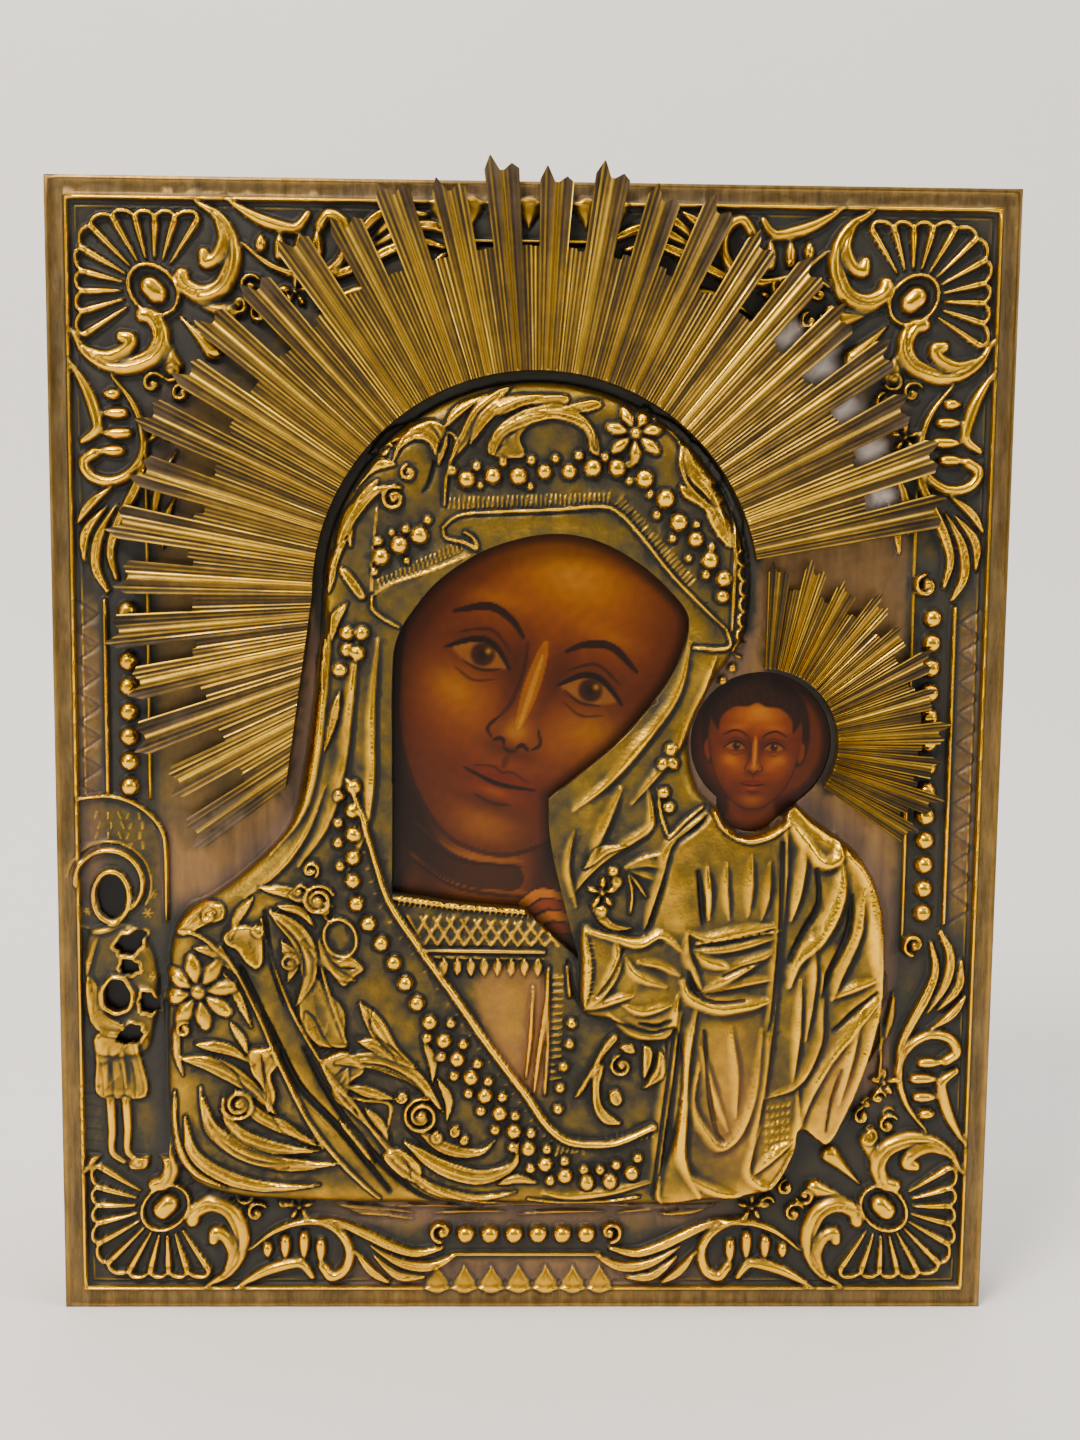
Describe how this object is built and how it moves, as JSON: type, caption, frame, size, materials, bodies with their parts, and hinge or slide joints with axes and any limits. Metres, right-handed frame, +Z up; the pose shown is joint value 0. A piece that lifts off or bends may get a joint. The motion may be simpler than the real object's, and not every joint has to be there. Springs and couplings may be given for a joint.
{
  "type": "icon panel",
  "caption": "Upright rectangular panel: a painted wooden board under a repousse brass cover with openings for two faces, and two rayed halos fixed on the cover.",
  "frame": {"origin": "middle of the box's underside, at the foot of the standing panel", "axes": "+X to the right across the front, +Y from the front to the back, +Z up; the front faces -Y"},
  "size_m": [0.26, 0.0356, 0.3186],
  "materials": {
    "painted_wood": "varnished paint in front, bare aged wood at the back",
    "cover_brass": "repousse sheet, dark patina in the hollows, worn bright on the ridges",
    "halo_brass": "pressed sheet, brighter than the cover, with worn ridges"
  },
  "bodies": {
    "root": {"painted_board": "painted_wood", "brass_cover": "cover_brass", "large_halo": "halo_brass", "small_halo": "halo_brass"}
  },
  "joints": []
}
